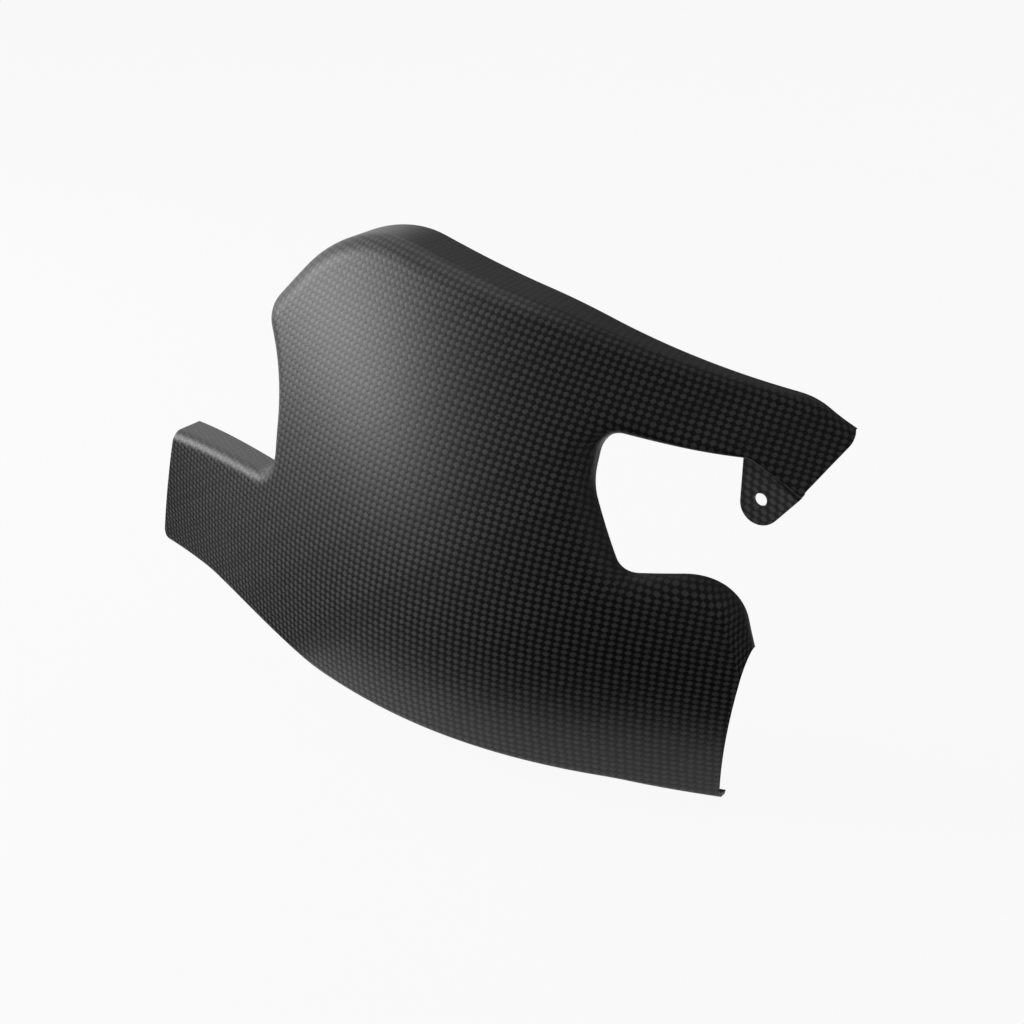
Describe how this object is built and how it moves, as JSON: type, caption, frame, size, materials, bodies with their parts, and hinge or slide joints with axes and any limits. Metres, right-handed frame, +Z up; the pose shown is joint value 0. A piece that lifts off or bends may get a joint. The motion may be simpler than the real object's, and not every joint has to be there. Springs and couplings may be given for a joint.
{
  "type": "swingarm protector",
  "caption": "Moulded carbon-fibre shell that covers a motorcycle swingarm, bowed in plan and section, with rolled rims, a cut-out between two arms and a drilled fixing tab",
  "frame": {"origin": "Centre of the fixing hole, on the outer face of the tab", "axes": "+X runs to the rear end of the part, -Y is outboard, +Z is up"},
  "size_m": [0.2989, 0.0921, 0.1867],
  "materials": {
    "carbon": "matt clear coat over plain-weave carbon fibre"
  },
  "bodies": {
    "root": {"protector_shell": "carbon"}
  },
  "joints": []
}
